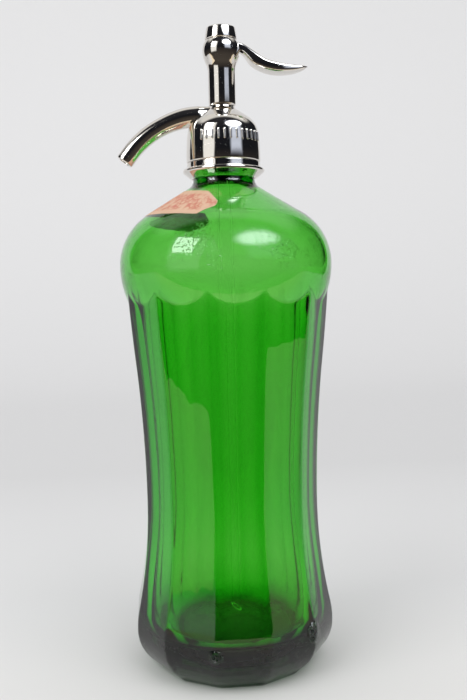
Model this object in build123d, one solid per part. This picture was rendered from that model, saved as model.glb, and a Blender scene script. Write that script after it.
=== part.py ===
"""Glass soda siphon: a twelve-sided green glass bottle with a plated lever head.

Every real piece is one solid, in millimetres.  +Z is up, the origin is the centre of the
base on the surface that it stands on, the spout points to -X and the lever to +X.
"""
from build123d import *
import os
from math import cos, pi, radians, sin, tan

os.makedirs("parts", exist_ok=True)

# ---------------------------------------------------------------- bottle, driving sizes
PANELS = 12
HALF_STEP = cos(radians(180 / PANELS))
WAIST_FLAT = 42.8       # half the size across two opposite panels at the waist
WAIST_Z = 85.0
FOOT_FLAT = 49.5        # the same at the fullest part of the foot
FOOT_Z = 21.0
UPPER_FLAT = 46.4       # the same where the panels stop opening and begin to straighten
UPPER_Z = 155.0
STRAIGHT_ARC = 1000.0   # radius of the nearly straight stretch from there to the shoulder
PANEL_TOP_Z = 196.0
BEVEL_FLAT = 40.1
BEVEL_Z = 3.0
REST_FLAT = 37.5
PUNT_R = 30.0
PUNT_DEPTH = 2.4
SHOULDER_R = 53.0
SHOULDER_Z = 202.0
SHOULDER_ARC = 29.74
SHOULDER_LOWER_ARC = 44.0
CONE_ANGLE = 31.5
NECK_R = 15.3
NECK_FILLET = 5.0
GROOVE_R = 13.0
BEAD_R = 15.3
LIP_Z = 264.0
MOUTH_R = 9.0
WALL = 6.0              # behind the middle of a panel
SHOULDER_WALL = 3.2
FLOOR_Z = 18.0
FLOOR_CORNER = 10.0

# ---------------------------------------------------------------- head, driving sizes
BELL_R = 18.5
BELL_BOTTOM_Z = 252.7
BELL_CEILING_Z = 266.4
THREAD_R = 16.2         # mean radius of the thread that joins the bell to the split collar
COLUMN_R = 6.8
COLUMN_BORE_R = 3.9
BULB_BORE_R = 4.5
CAP_SEAT_Z = 312.6
CAP_TOP_Z = 319.0
CAP_CEILING_Z = 316.9
STUB_TOP_Z = 316.3      # top of the threaded stub that the cap screws on to
CAP_THREAD_R = 5.9
CHAMBER_R = 6.0
SEAT_TOP_Z = 271.5
SEAT_BORE_R = 3.6
SEAT_THREAD_R = 7.5
SPIGOT_R = 6.5
TUBE_R = 4.0
TUBE_BORE_R = 2.8
PIVOT_X = 4.2
PIVOT_Z = 308.0
PIN_R = 0.9
PIN_HOLE_R = 0.95
SLOT_HALF = 3.3
SPOUT_R = 4.4
SPOUT_BORE_R = 2.7
THREAD_GAP = 0.05


def turned(*points):
    """Solid of revolution about Z of the closed outline through (radius, z) points."""
    outline = Polyline(*[(r, 0, z) for r, z in points], close=True)
    return revolve(make_face(outline), Axis.Z, 360)


def turned_edges(edges):
    """Solid of revolution about Z of a closed loop of edges drawn in the XZ plane."""
    return revolve(make_face(edges), Axis.Z, 360)


def tube(radius, bore, z0, z1):
    """Plain ring or tube about Z."""
    return turned((bore, z0), (radius, z0), (radius, z1), (bore, z1))


def rod(radius, z0, z1):
    """Plain cylinder about Z."""
    return Pos(0, 0, (z0 + z1) / 2) * Cylinder(radius, z1 - z0)


def hexagon(across_corners_r, z0, z1):
    """Hexagonal prism about Z."""
    return Pos(0, 0, z0) * extrude(RegularPolygon(across_corners_r, 6), z1 - z0)


def save(shape, name):
    """Write one piece."""
    shape.label = name
    export_step(shape, f"parts/{name}.step")


# ================================================================= the glass bottle
def panel_slab():
    """Space between two opposite panels: the panel profile, mirrored, drawn out along Y."""
    joined = ((FOOT_FLAT - WAIST_FLAT) ** 2 + (WAIST_Z - FOOT_Z) ** 2) / (2 * (FOOT_FLAT - WAIST_FLAT))
    foot_arc = 50.0
    waist_arc = joined - foot_arc
    share = foot_arc / joined
    turn_x = FOOT_FLAT - foot_arc + share * (WAIST_FLAT + waist_arc - FOOT_FLAT + foot_arc)
    turn_z = FOOT_Z + share * (WAIST_Z - FOOT_Z)
    rise = UPPER_Z - WAIST_Z
    spread = UPPER_FLAT - WAIST_FLAT
    upper_arc = (rise ** 2 + spread ** 2) / (2 * spread)
    lean = rise / upper_arc
    upright = (1 - lean ** 2) ** 0.5
    still_to_turn = lean * STRAIGHT_ARC - (PANEL_TOP_Z - UPPER_Z)
    top_x = UPPER_FLAT - STRAIGHT_ARC * upright + (STRAIGHT_ARC ** 2 - still_to_turn ** 2) ** 0.5

    def side(sign):
        """The panel's edges from the base to the top on one side."""
        bevel = (sign * BEVEL_FLAT, 0, BEVEL_Z)
        foot = (sign * FOOT_FLAT, 0, FOOT_Z)
        turn = (sign * turn_x, 0, turn_z)
        waist = (sign * WAIST_FLAT, 0, WAIST_Z)
        upper = (sign * UPPER_FLAT, 0, UPPER_Z)
        top = (sign * top_x, 0, PANEL_TOP_Z)
        rest = (sign * REST_FLAT, 0, 0)
        return [
            Line(rest, bevel),
            TangentArc(foot, bevel, tangent=(0, 0, -1)),
            TangentArc(foot, turn, tangent=(0, 0, 1)),
            TangentArc(waist, turn, tangent=(0, 0, -1)),
            TangentArc(waist, upper, tangent=(0, 0, 1)),
            TangentArc(upper, top, tangent=(sign * lean, 0, upright)),
        ]

    edges = side(1) + side(-1)
    edges.append(Line((-REST_FLAT, 0, 0), (REST_FLAT, 0, 0)))
    edges.append(Line((-top_x, 0, PANEL_TOP_Z), (top_x, 0, PANEL_TOP_Z)))
    face = make_face(edges)
    return extrude(face, 70, dir=(0, 1, 0), both=True)


def shoulder_outline():
    """Turned shoulder, neck, groove and bead, as edges from the axis round to the axis."""
    slope = radians(CONE_ANGLE)
    centre_x = SHOULDER_R - SHOULDER_ARC
    cone_low_x = centre_x + SHOULDER_ARC * sin(slope)
    cone_low_z = SHOULDER_Z + SHOULDER_ARC * cos(slope)
    meet_z = cone_low_z + (cone_low_x - NECK_R) * tan(slope)
    reach = NECK_FILLET * tan((pi / 2 - slope) / 2)
    cone_high = (NECK_R + reach * cos(slope), 0, meet_z - reach * sin(slope))
    neck_low = (NECK_R, 0, meet_z + reach)
    cone_low = (cone_low_x, 0, cone_low_z)
    equator = (SHOULDER_R, 0, SHOULDER_Z)
    under_z = 174.0
    under_x = SHOULDER_R - SHOULDER_LOWER_ARC
    under_x += (SHOULDER_LOWER_ARC ** 2 - (SHOULDER_Z - under_z) ** 2) ** 0.5
    under = (under_x, 0, under_z)
    return [
        Line((0, 0, under_z), under),
        TangentArc(equator, under, tangent=(0, 0, -1)),
        TangentArc(equator, cone_low, tangent=(0, 0, 1)),
        Line(cone_low, cone_high),
        TangentArc(neck_low, cone_high, tangent=(0, 0, -1)),
        Polyline(neck_low, (NECK_R, 0, 245.0), (GROOVE_R, 0, 246.6), (GROOVE_R, 0, 254.6)),
        Line((GROOVE_R, 0, 254.6), (14.5, 0, 256.4)),
        TangentArc((14.5, 0, 256.4), (BEAD_R, 0, 258.4), tangent=(1, 0, 1)),
        Line((BEAD_R, 0, 258.4), (BEAD_R, 0, LIP_Z - 1.4)),
        TangentArc((BEAD_R, 0, LIP_Z - 1.4), (BEAD_R - 1.4, 0, LIP_Z), tangent=(0, 0, 1)),
        Line((BEAD_R - 1.4, 0, LIP_Z), (0, 0, LIP_Z)),
        Line((0, 0, LIP_Z), (0, 0, under_z)),
    ]


def cavity_outline():
    """Round inside of the bottle, as edges from the axis at the floor up to the mouth."""
    waist = (WAIST_FLAT - WALL, 0, WAIST_Z)
    above_waist = (43.7 - WALL, 0, 120.0)
    below_shoulder = (UPPER_FLAT - WALL, 0, UPPER_Z)
    under_shoulder = (42.8, 0, 175.0)
    foot_r = FOOT_FLAT - WALL - 1.0
    foot = (foot_r, 0, FLOOR_Z + FLOOR_CORNER)
    upper = (SHOULDER_R - SHOULDER_WALL, 0, SHOULDER_Z)
    slope = radians(CONE_ANGLE)
    inner_arc = SHOULDER_ARC - SHOULDER_WALL
    centre_x = SHOULDER_R - SHOULDER_ARC
    cone_low = (centre_x + inner_arc * sin(slope), 0, SHOULDER_Z + inner_arc * cos(slope))
    mouth_z = cone_low[2] + (cone_low[0] - MOUTH_R) * tan(slope)
    reach = 9.0 * tan((pi / 2 - slope) / 2)
    cone_high = (MOUTH_R + reach * cos(slope), 0, mouth_z - reach * sin(slope))
    mouth_low = (MOUTH_R, 0, mouth_z + reach)
    corner = FLOOR_CORNER
    return [
        Line((0, 0, FLOOR_Z), (foot_r - corner, 0, FLOOR_Z)),
        TangentArc((foot_r - corner, 0, FLOOR_Z), foot, tangent=(1, 0, 0)),
        Spline(
            foot, waist, above_waist, below_shoulder, under_shoulder, upper,
            tangents=[(0, 0, 1), (0, 0, 1)],
        ),
        TangentArc(upper, cone_low, tangent=(0, 0, 1)),
        Line(cone_low, cone_high),
        TangentArc(mouth_low, cone_high, tangent=(0, 0, -1)),
        Line(mouth_low, (MOUTH_R, 0, LIP_Z + 1.0)),
        Line((MOUTH_R, 0, LIP_Z + 1.0), (0, 0, LIP_Z + 1.0)),
        Line((0, 0, LIP_Z + 1.0), (0, 0, FLOOR_Z)),
    ]


panels = panel_slab()
for count in range(1, PANELS // 2):
    panels = panels & (Rot(0, 0, count * 360 / PANELS) * panel_slab())
shoulder = turned_edges(shoulder_outline())
cavity = turned_edges(cavity_outline())
punt_sphere_r = (PUNT_R ** 2 + PUNT_DEPTH ** 2) / (2 * PUNT_DEPTH)
punt = Pos(0, 0, PUNT_DEPTH - punt_sphere_r) * Sphere(punt_sphere_r)
glass_bottle = panels + shoulder - cavity - punt
save(glass_bottle, "glass_bottle")

# ----------------------------------------------------------------- paper shoulder label
LABEL_THICK = 0.16


def polar(radius, angle):
    """Point in plan at an angle from -Y, turning towards +X."""
    return (radius * sin(radians(angle)), -radius * cos(radians(angle)))


skin = shoulder_outline()
thick_shoulder = offset(turned_edges(skin), LABEL_THICK)
label_plan = [
    Line(polar(23.6, -23.5), polar(33.2, -10.5)),
    Line(polar(33.2, -10.5), polar(37.0, -11.5)),
    Line(polar(37.0, -11.5), polar(42.6, -22.5)),
    ThreePointArc(polar(42.6, -22.5), polar(40.0, -90), polar(42.6, -157.5)),
    Line(polar(42.6, -157.5), polar(37.0, -168.5)),
    Line(polar(37.0, -168.5), polar(33.2, -169.5)),
    Line(polar(33.2, -169.5), polar(23.6, -156.5)),
    ThreePointArc(polar(23.6, -156.5), polar(20.7, -90), polar(23.6, -23.5)),
]
label_prism = Pos(0, 0, 210) * extrude(make_face(label_plan), 32)
shoulder_label = (thick_shoulder & label_prism) - turned_edges(shoulder_outline())
save(shoulder_label, "shoulder_label")

# ================================================================= split collar and liner
collar_ring = turned_edges([
    Line((15.75, 0, 245.0), (16.6, 0, 245.0)),
    Line((16.6, 0, 245.0), (19.7, 0, 247.5)),
    ThreePointArc((19.7, 0, 247.5), (20.3, 0, 248.7), (19.5, 0, 249.8)),
    Line((19.5, 0, 249.8), (18.3, 0, 249.8)),
    Line((18.3, 0, 249.8), (18.3, 0, BELL_BOTTOM_Z - 0.1)),
    Line((18.3, 0, BELL_BOTTOM_Z - 0.1), (THREAD_R - THREAD_GAP, 0, BELL_BOTTOM_Z - 0.1)),
    Line((THREAD_R - THREAD_GAP, 0, BELL_BOTTOM_Z - 0.1), (THREAD_R - THREAD_GAP, 0, 256.6)),
    Line((THREAD_R - THREAD_GAP, 0, 256.6), (15.4, 0, 256.6)),
    Line((15.4, 0, 256.6), (13.7, 0, 254.6)),
    Line((13.7, 0, 254.6), (13.7, 0, 247.0)),
    Line((13.7, 0, 247.0), (15.75, 0, 245.6)),
    Line((15.75, 0, 245.6), (15.75, 0, 245.0)),
])
SEAM_ANGLE = 253.4      # direction of the visible seam from +X, the other is opposite
SEAM_GAP = 0.25
seam_cut = Rot(0, 0, SEAM_ANGLE) * (Pos(0, 0, 250) * Box(60, SEAM_GAP, 40))
front_side = Rot(0, 0, SEAM_ANGLE) * (Pos(0, 40, 250) * Box(80, 80, 40))
open_collar = collar_ring - seam_cut
save(open_collar & front_side, "collar_half_right")
save(open_collar - front_side, "collar_half_left")
save(tube(13.7, GROOVE_R, 247.2, 254.4), "collar_liner")

# ================================================================= head casting
outer_edges = [
    Line((0, 0, BELL_BOTTOM_Z), (BELL_R - 0.4, 0, BELL_BOTTOM_Z)),
    Line((BELL_R - 0.4, 0, BELL_BOTTOM_Z), (BELL_R, 0, BELL_BOTTOM_Z + 0.5)),
    Line((BELL_R, 0, BELL_BOTTOM_Z + 0.5), (BELL_R, 0, 256.0)),
    Spline(
        (BELL_R, 0, 256.0), (18.3, 0, 260.5), (18.0, 0, 265.0), (16.7, 0, 270.8), (14.6, 0, 273.6),
        (12.0, 0, 275.6), (9.4, 0, 277.4), (6.3, 0, 279.9), tangents=[(0, 0, 1), (-0.6, 0, 1)],
    ),
    Line((6.3, 0, 279.9), (6.0, 0, 280.5)),
    ThreePointArc((6.0, 0, 280.5), (6.6, 0, 280.9), (COLUMN_R, 0, 281.7)),
    Line((COLUMN_R, 0, 281.7), (COLUMN_R, 0, 297.6)),
    Spline(
        (COLUMN_R, 0, 297.6), (7.1, 0, 299.8), (8.1, 0, 302.3), (9.0, 0, 304.9), (9.3, 0, 307.6),
        (8.75, 0, 310.5), (7.6, 0, CAP_SEAT_Z), tangents=[(0, 0, 1), (-0.9, 0, 1)],
    ),
    Line((7.6, 0, CAP_SEAT_Z), (CAP_THREAD_R, 0, CAP_SEAT_Z)),
    Line((CAP_THREAD_R, 0, CAP_SEAT_Z), (CAP_THREAD_R, 0, STUB_TOP_Z)),
    Line((CAP_THREAD_R, 0, STUB_TOP_Z), (0, 0, STUB_TOP_Z)),
    Line((0, 0, STUB_TOP_Z), (0, 0, BELL_BOTTOM_Z)),
]
head = turned_edges(outer_edges)
head -= rod(THREAD_R, BELL_BOTTOM_Z - 1, BELL_CEILING_Z)
head -= rod(SEAT_THREAD_R, BELL_CEILING_Z - 1, 270.0)
head -= turned((0, 269), (CHAMBER_R, 269), (CHAMBER_R, 277.6), (COLUMN_BORE_R, 279.6), (0, 279.6))
head -= rod(COLUMN_BORE_R, 279, 302)
head -= rod(BULB_BORE_R, 301, 320)

# the spout's screwed root enters the dome along a line that falls away from the head
ROOT_X = -11.0
ROOT_Z = 275.7
ROOT_FALL = 6.0


def along_root(shape, distance=0.0):
    """Place a shape made about +Z so that it lies along the spout's root, pointing away."""
    placed = Pos(0, 0, distance) * shape
    return Pos(ROOT_X, 0, ROOT_Z) * (Rot(0, -90 - ROOT_FALL, 0) * placed)


ROOT_THREAD_R = 3.9
head -= along_root(Cylinder(ROOT_THREAD_R, 12), -1.0)
head -= Pos(PIVOT_X + 5, 0, 308.45) * Box(12.0, 2 * SLOT_HALF, 7.7)
head -= Pos(PIVOT_X, 0, PIVOT_Z) * (Rot(90, 0, 0) * Cylinder(PIN_R, 30))

# raised ornament round the bell: upright beads between two fine lines, all turned alike
ORNAMENT_COUNT = 12
ORNAMENT_STEP = 9.5
ORNAMENT_MIDDLE = 282.0
for count in range(ORNAMENT_COUNT):
    angle = ORNAMENT_MIDDLE + (count - (ORNAMENT_COUNT - 1) / 2) * ORNAMENT_STEP
    bead = Pos(18.0, 0, 264.6) * (Rot(0, -3, 0) * Cylinder(0.55, 5.2))
    head += Rot(0, 0, angle) * bead
save(head, "head_casting")

# ================================================================= spout
TIP_LENGTH = 6.0
TIP_FALL = 52.3
MOUTH_X = -49.3
MOUTH_Z = 253.5
tip_x = MOUTH_X + TIP_LENGTH * cos(radians(TIP_FALL))
tip_z = MOUTH_Z + TIP_LENGTH * sin(radians(TIP_FALL))
spout_line = Spline(
    (ROOT_X, 0, ROOT_Z), (-18.5, 0, 274.9), (-26.05, 0, 272.6), (-38.9, 0, 265.1), (tip_x, 0, tip_z),
    tangents=[
        (-cos(radians(ROOT_FALL)), 0, -sin(radians(ROOT_FALL))),
        (-cos(radians(TIP_FALL)), 0, -sin(radians(TIP_FALL))),
    ],
)


def across(share):
    """Plane square to the spout's centre line at a share of its length."""
    return Plane(origin=spout_line @ share, x_dir=(0, 1, 0), z_dir=spout_line % share)


spout_sizes = [(0.0, 5.3), (0.25, 4.95), (0.5, 4.5), (1.0, SPOUT_R)]
arm = sweep([across(share) * Circle(size) for share, size in spout_sizes], path=spout_line, multisection=True)
arm += extrude(across(1) * Circle(SPOUT_R), TIP_LENGTH)
arm = fillet(arm.edges().filter_by(GeomType.CIRCLE).sort_by(Axis.Z)[0], 0.8)
arm += along_root(Cylinder(ROOT_THREAD_R - THREAD_GAP, 5.6), -2.2)
arm -= sweep(across(0) * Circle(SPOUT_BORE_R), path=spout_line)
arm -= extrude(across(1) * Circle(SPOUT_BORE_R), TIP_LENGTH + 1)
arm -= along_root(Cylinder(SPOUT_BORE_R, 6.0), -3.0)
dome = turned_edges(outer_edges) - along_root(Cylinder(ROOT_THREAD_R, 12), -1.0)
spout = (arm - dome).solids().sort_by(SortBy.VOLUME)[-1]
save(spout, "spout")

# ================================================================= valve seat, tube, washers
valve_seat = turned(
    (0, 258.0), (SPIGOT_R, 258.0), (SPIGOT_R, 264.9), (9.0, 264.9), (9.0, BELL_CEILING_Z),
    (SEAT_THREAD_R - THREAD_GAP, BELL_CEILING_Z), (SEAT_THREAD_R - THREAD_GAP, 269.9), (5.4, 269.9),
    (5.4, 270.5), (4.5, 270.5), (4.2, SEAT_TOP_Z), (0, SEAT_TOP_Z),
)
valve_seat -= rod(SEAT_BORE_R, 262.0, 273.0)
valve_seat -= rod(3.0, 257.0, 263.0)
save(valve_seat, "valve_seat")
save(tube(BEAD_R - 0.3, 9.3, LIP_Z, BELL_CEILING_Z), "neck_washer")

tube_nut = hexagon(8.4, 250.5, 261.5) - rod(SPIGOT_R + THREAD_GAP, 252.0, 262.0) - rod(4.3, 250.0, 253.0)
save(tube_nut, "tube_nut")
save(tube(6.3, TUBE_R, 252.0, 258.0), "tube_grommet")
TUBE_FOOT_Z = 24.0
slant = Pos(0, 0, TUBE_FOOT_Z) * (Rot(0, 30, 0) * (Pos(0, 0, -10) * Box(30, 30, 20)))
dip_tube = tube(TUBE_R, TUBE_BORE_R, TUBE_FOOT_Z - 4, 257.4) - slant
save(dip_tube, "dip_tube")

# ================================================================= plunger and valve
STEM_R = 1.5
plunger_rod = turned(
    (0, 269.0), (STEM_R, 269.0), (STEM_R, 286.0), (COLUMN_BORE_R - 0.05, 286.0),
    (COLUMN_BORE_R - 0.05, 287.4), (2.3, 287.4), (2.3, 310.8), (1.7, 310.8), (1.7, 313.6),
    (1.3, 314.0), (0, 314.0),
)
plunger_rod -= Pos(0, 0, 307.65) * Box(10, 2.2, 3.5)
save(plunger_rod, "plunger_rod")
save(hexagon(2.9, 269.6, SEAT_TOP_Z) - rod(STEM_R, 269, 272), "valve_nut")
VALVE_CLEAR = 0.05
save(tube(4.9, STEM_R, SEAT_TOP_Z + VALVE_CLEAR, 273.9), "valve_disc")
save(turned((STEM_R, 273.9), (4.6, 273.9), (4.6, 274.5), (3.2, 274.9), (STEM_R, 274.9)), "valve_washer")
save(tube(2.6, STEM_R, 274.9, 284.6), "spacer_sleeve")
cup_washer = turned(
    (STEM_R, 286.0), (STEM_R, 284.6), (3.0, 284.6), (3.25, 282.4), (COLUMN_BORE_R - 0.05, 282.4),
    (COLUMN_BORE_R - 0.05, 286.0),
)
save(cup_washer, "cup_washer")
save(tube(4.2, 1.75, 310.8, 311.4), "spring_washer")

# ================================================================= spring and cap
SPRING_WIRE_R = 0.35
SPRING_MEAN_R = 3.2
SPRING_LOW_Z = 311.4
spring_turns = 4
spring_height = CAP_CEILING_Z - SPRING_LOW_Z - 2 * SPRING_WIRE_R
spring_path = Helix(spring_height / spring_turns, spring_height, SPRING_MEAN_R)
wire_plane = Plane(origin=spring_path @ 0, z_dir=spring_path % 0)
spring = sweep(wire_plane * Circle(SPRING_WIRE_R), path=spring_path)
save(Pos(0, 0, SPRING_LOW_Z + SPRING_WIRE_R) * spring, "return_spring")
save(tube(CAP_THREAD_R, BULB_BORE_R + 0.1, STUB_TOP_Z, CAP_CEILING_Z), "cap_washer")
top_cap = turned_edges([
    Line((CAP_THREAD_R + THREAD_GAP, 0, CAP_SEAT_Z), (7.8, 0, CAP_SEAT_Z)),
    ThreePointArc((7.8, 0, CAP_SEAT_Z), (8.0, 0, 312.9), (7.97, 0, 313.4)),
    Line((7.97, 0, 313.4), (7.3, 0, 317.9)),
    ThreePointArc((7.3, 0, 317.9), (6.95, 0, 318.6), (6.2, 0, 318.85)),
    Line((6.2, 0, 318.85), (4.0, 0, CAP_TOP_Z)),
    Line((4.0, 0, CAP_TOP_Z), (0, 0, CAP_TOP_Z)),
    Line((0, 0, CAP_TOP_Z), (0, 0, CAP_CEILING_Z)),
    Line((0, 0, CAP_CEILING_Z), (CAP_THREAD_R + THREAD_GAP, 0, CAP_CEILING_Z)),
    Line((CAP_THREAD_R + THREAD_GAP, 0, CAP_CEILING_Z), (CAP_THREAD_R + THREAD_GAP, 0, CAP_SEAT_Z)),
])
save(top_cap, "top_cap")

# ================================================================= lever and its pin
paddle_stations = [
    # x, z, fall in degrees, half thickness, half width
    (12.3, 307.0, 42, 2.4, 3.6),
    (16.5, 303.3, 37, 2.9, 4.6),
    (21.0, 300.7, 25, 2.75, 5.2),
    (27.0, 299.1, 10, 2.65, 5.4),
    (33.0, 298.6, 1, 2.15, 5.0),
    (38.0, 298.9, -7, 1.6, 3.9),
    (41.6, 299.6, -15, 0.9, 2.2),
]
sections = []
for x, z, fall, half_thick, half_wide in paddle_stations:
    along = (cos(radians(fall)), 0, -sin(radians(fall)))
    station = Plane(origin=(x, 0, z), x_dir=(0, 1, 0), z_dir=along)
    sections.append(station * Ellipse(half_wide, half_thick))
paddle = loft(sections + [Vertex(43.3, 0, 300.1)])
neck_side = make_face(Polyline(
    (2.4, 0, 309.2), (5.0, 0, 310.2), (7.3, 0, 312.0), (10.2, 0, 311.2), (12.9, 0, 309.6),
    (13.3, 0, 305.2), (12.2, 0, 304.9), (10.4, 0, 306.2), (7.3, 0, 306.9), (5.0, 0, 306.3),
    (2.4, 0, 306.8), close=True,
))
neck = extrude(neck_side, 2.6, dir=(0, 1, 0), both=True)
boss = Pos(PIVOT_X, 0, PIVOT_Z) * (Rot(90, 0, 0) * Cylinder(1.95, 5.2))
tongue = Pos(PIVOT_X / 2, 0, PIVOT_Z) * Box(PIVOT_X, 1.6, 2.2)
tongue += Pos(0, 0, PIVOT_Z) * (Rot(90, 0, 0) * Cylinder(1.1, 1.6))
lever = (paddle + neck + boss) - rod(2.7, 300, 316)
lever = lever + tongue - Pos(PIVOT_X, 0, PIVOT_Z) * (Rot(90, 0, 0) * Cylinder(PIN_HOLE_R, 20))
save(lever, "lever")
save(Pos(PIVOT_X, 0, PIVOT_Z) * (Rot(90, 0, 0) * Cylinder(PIN_R, 16.2)), "lever_pin")
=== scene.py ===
"""Twelve-sided green glass soda siphon: the looks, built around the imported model."""

import bpy
import numpy as np
from bpy.props import FloatProperty, FloatVectorProperty, IntProperty, PointerProperty
from bpy.types import Operator, Panel, PropertyGroup
from math import radians
from mathutils import Matrix, Vector


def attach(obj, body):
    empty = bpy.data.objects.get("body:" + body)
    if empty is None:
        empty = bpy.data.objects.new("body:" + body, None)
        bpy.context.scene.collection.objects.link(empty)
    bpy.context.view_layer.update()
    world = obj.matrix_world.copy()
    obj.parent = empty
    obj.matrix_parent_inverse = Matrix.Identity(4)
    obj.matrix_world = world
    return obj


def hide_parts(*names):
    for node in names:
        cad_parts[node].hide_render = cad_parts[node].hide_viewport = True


bl_info = {
    "name": "Glass soda siphon",
    "version": (1, 0, 0),
    "blender": (4, 5, 0),
    "location": "View3D > Sidebar > Siphon",
    "description": "Builds the glass, plating, label and studio of a soda siphon",
    "category": "Object",
}

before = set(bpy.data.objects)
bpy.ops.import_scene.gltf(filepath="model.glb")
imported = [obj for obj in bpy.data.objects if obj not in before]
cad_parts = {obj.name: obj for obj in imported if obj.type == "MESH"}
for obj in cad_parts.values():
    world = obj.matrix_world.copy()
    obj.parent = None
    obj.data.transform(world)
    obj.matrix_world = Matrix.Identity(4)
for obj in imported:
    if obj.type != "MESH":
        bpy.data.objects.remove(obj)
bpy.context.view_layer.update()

MM = 0.001
PANELS = 12
PANEL_DEGREES = 360.0 / PANELS
PANEL_TURN = np.radians(PANEL_DEGREES)

# the round shoulder, in mm: the height of its widest line, the radii of the arcs that meet there,
# the slope of the cone above them and the thickness of its wall
WIDEST_Z = 202.0
LOWER_ARC = 44.0
DOME_ARC = 29.74
CONE_SLOPE = np.radians(31.5)
SHOULDER_WALL = 3.2

# the neck's radius outside and the radius of the bore in it, in mm
NECK_R = 15.3
MOUTH_R = 9.0

# what the label's print coordinates count along and across it, in mm. The paper is really about
# 90 by 23 mm, so the blotches come out a little short along it and a little broad across it
PRINT_LONG = 128.0
PRINT_WIDE = 19.0


# ------------------------------------------------------------------ small helpers
def linear(hex_colour, alpha=1.0):
    """sRGB hex text to linear red, green, blue, alpha."""
    values = np.array([int(hex_colour[i:i + 2], 16) / 255 for i in (1, 3, 5)])
    low = values / 12.92
    high = ((values + 0.055) / 1.055) ** 2.4
    return (*np.where(values <= 0.04045, low, high).tolist(), alpha)


def node(tree, kind, settings=None, **sockets):
    """Adds a shader node. settings hold its own properties, its inputs by number, and a colour
    ramp's stops as (place, colour) pairs. Each keyword is an input by name. An input gets a value
    or another node's output socket."""
    made = tree.nodes.new(kind)
    inputs = {key.replace("_", " "): value for key, value in sockets.items()}
    for key, value in (settings or {}).items():
        if isinstance(key, int):
            inputs[key] = value
        elif key == "stops":
            elements = made.color_ramp.elements
            while len(elements) < len(value):
                elements.new(0.5)
            for element, (place, colour) in zip(elements, value):
                element.position, element.color = place, colour
        else:
            setattr(made, key, value)
    for key, value in inputs.items():
        if isinstance(value, bpy.types.NodeSocket):
            tree.links.new(value, made.inputs[key])
        else:
            made.inputs[key].default_value = value
    return made


def new_material(name):
    """A material with an empty node tree and its output node."""
    made = bpy.data.materials.new(name)
    made.use_nodes = True
    made.node_tree.nodes.clear()
    return made, made.node_tree, made.node_tree.nodes.new("ShaderNodeOutputMaterial")


def grey(value):
    """The same value in red, green and blue."""
    return (value, value, value, 1.0)


def place_mesh(name, points, faces, body, material, crease=None):
    """Puts points in mm and faces into a new smooth object that rides on a body. Edges that turn
    more than the crease, in degrees, stay sharp."""
    mesh = bpy.data.meshes.new(name)
    mesh.from_pydata((np.asarray(points).reshape(-1, 3) * MM).tolist(), [], faces)
    mesh.update()
    mesh.shade_smooth()
    if crease:
        mesh.set_sharp_from_angle(angle=radians(crease))
    made = bpy.data.objects.new(name, mesh)
    bpy.context.scene.collection.objects.link(made)
    mesh.materials.append(material)
    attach(made, body)
    return made


def grid_faces(rows, columns, wrap=True, loop=False, flip=False):
    """Quads of a grid of rows by columns points. wrap closes it across its columns, loop joins
    its last row to its first."""
    last_row = rows if loop else rows - 1
    last = columns if wrap else columns - 1
    row, column = np.meshgrid(np.arange(last_row), np.arange(last), indexing="ij")
    after = (column + 1) % columns
    above = (row + 1) % rows
    quads = np.stack([row * columns + column, row * columns + after, above * columns + after,
                      above * columns + column], -1).reshape(-1, 4)
    return (quads[:, ::-1] if flip else quads).tolist()


def tube_of(rings):
    """Points and faces of a closed skin over a stack of rings, with a middle point at each end."""
    rows, columns = rings.shape[:2]
    points = np.concatenate([rings.reshape(-1, 3), rings[:1].mean(1), rings[-1:].mean(1)])
    faces = grid_faces(rows, columns)
    first, last, end = rows * columns, rows * columns + 1, (rows - 1) * columns
    for i in range(columns):
        after = (i + 1) % columns
        faces.append([first, after, i])
        faces.append([last, end + i, end + after])
    return points, faces


def joined(*parts):
    """Several points-and-faces pairs as one."""
    points, faces = [], []
    for part_points, part_faces in parts:
        shift = sum(len(p) for p in points)
        points.append(np.asarray(part_points).reshape(-1, 3))
        faces += [[corner + shift for corner in face] for face in part_faces]
    return np.concatenate(points), faces


def hermite(places, values, slopes, wanted):
    """Cubic pieces through values at places with given slopes, read at the wanted places."""
    piece = np.clip(np.searchsorted(places, wanted) - 1, 0, places.size - 2)
    width = places[piece + 1] - places[piece]
    t = (wanted - places[piece]) / width
    if values.ndim > 1:
        t, width = t[:, None], width[:, None]
    return (values[piece] * (1 + 2 * t) * (1 - t) ** 2 + values[piece + 1] * t * t * (3 - 2 * t)
            + width * slopes[piece] * t * (1 - t) ** 2 - width * slopes[piece + 1] * t * t * (1 - t))


def curve_through(points, count, start=None, end=None):
    """Smooth curve through points: at each point it runs parallel to the line between its
    neighbours, at the ends along the given directions. Evenly spaced places."""
    points = np.asarray(points, float)
    along = np.concatenate([[0], np.cumsum(np.linalg.norm(np.diff(points, axis=0), axis=1))])
    slopes = np.gradient(points, along, axis=0)
    if start is not None:
        slopes[0] = np.asarray(start) / np.linalg.norm(start)
    if end is not None:
        slopes[-1] = np.asarray(end) / np.linalg.norm(end)
    return hermite(along, points, slopes, np.linspace(0, along[-1], count))


def rounded(points, radius, count=4):
    """A closed outline with every corner sharper than 20 degrees turned into a small curve: a
    parabola that starts and ends at the radius from the corner, or less on a short side."""
    points = np.asarray(points, float)
    out = []
    for before, corner, after in zip(np.roll(points, 1, 0), points, np.roll(points, -1, 0)):
        come, go = corner - before, after - corner
        come_size, go_size = np.linalg.norm(come), np.linalg.norm(go)
        turn = np.arccos(np.clip(np.dot(come, go) / (come_size * go_size), -1, 1))
        if turn < np.radians(20):
            out.append(corner[None, :])
            continue
        near = corner - come / come_size * min(radius, 0.45 * come_size)
        far = corner + go / go_size * min(radius, 0.45 * go_size)
        t = np.linspace(0, 1, count)[:, None]
        out.append(near * (1 - t) ** 2 + 2 * corner * t * (1 - t) + far * t * t)
    return np.concatenate(out)


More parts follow.
